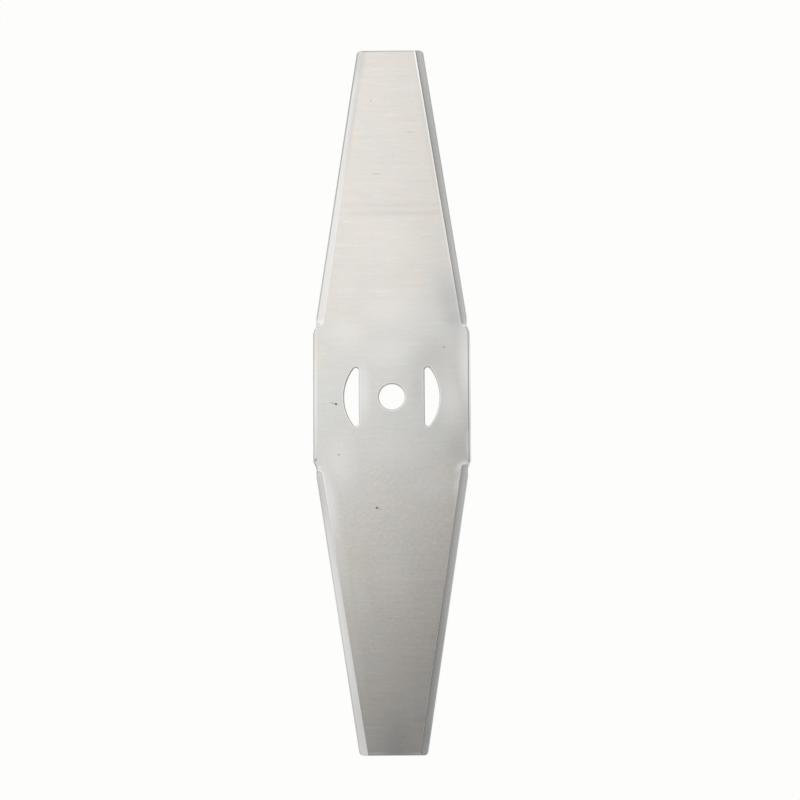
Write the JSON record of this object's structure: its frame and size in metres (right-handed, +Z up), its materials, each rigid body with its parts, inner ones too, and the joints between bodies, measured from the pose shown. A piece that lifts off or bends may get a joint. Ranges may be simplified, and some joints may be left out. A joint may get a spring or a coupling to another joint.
{
  "type": "grass trimmer blade",
  "caption": "Flat steel cutting blade for a grass trimmer: a wide hub with a centre hole and D-shaped drive slots, and arms that taper to blunt tips and have bevelled cutting edges.",
  "frame": {"origin": "centre of the hole on the underside, which is also the centre of the blade's outline", "axes": "+Z up through the hole, from the flat underside to the bevelled face; +Y along the blade's length; +X across its width"},
  "size_m": [0.0332, 0.15, 0.001],
  "materials": {
    "steel": "bare steel, finely brushed across its width"
  },
  "bodies": {
    "root": {"blade": "steel"}
  },
  "joints": []
}
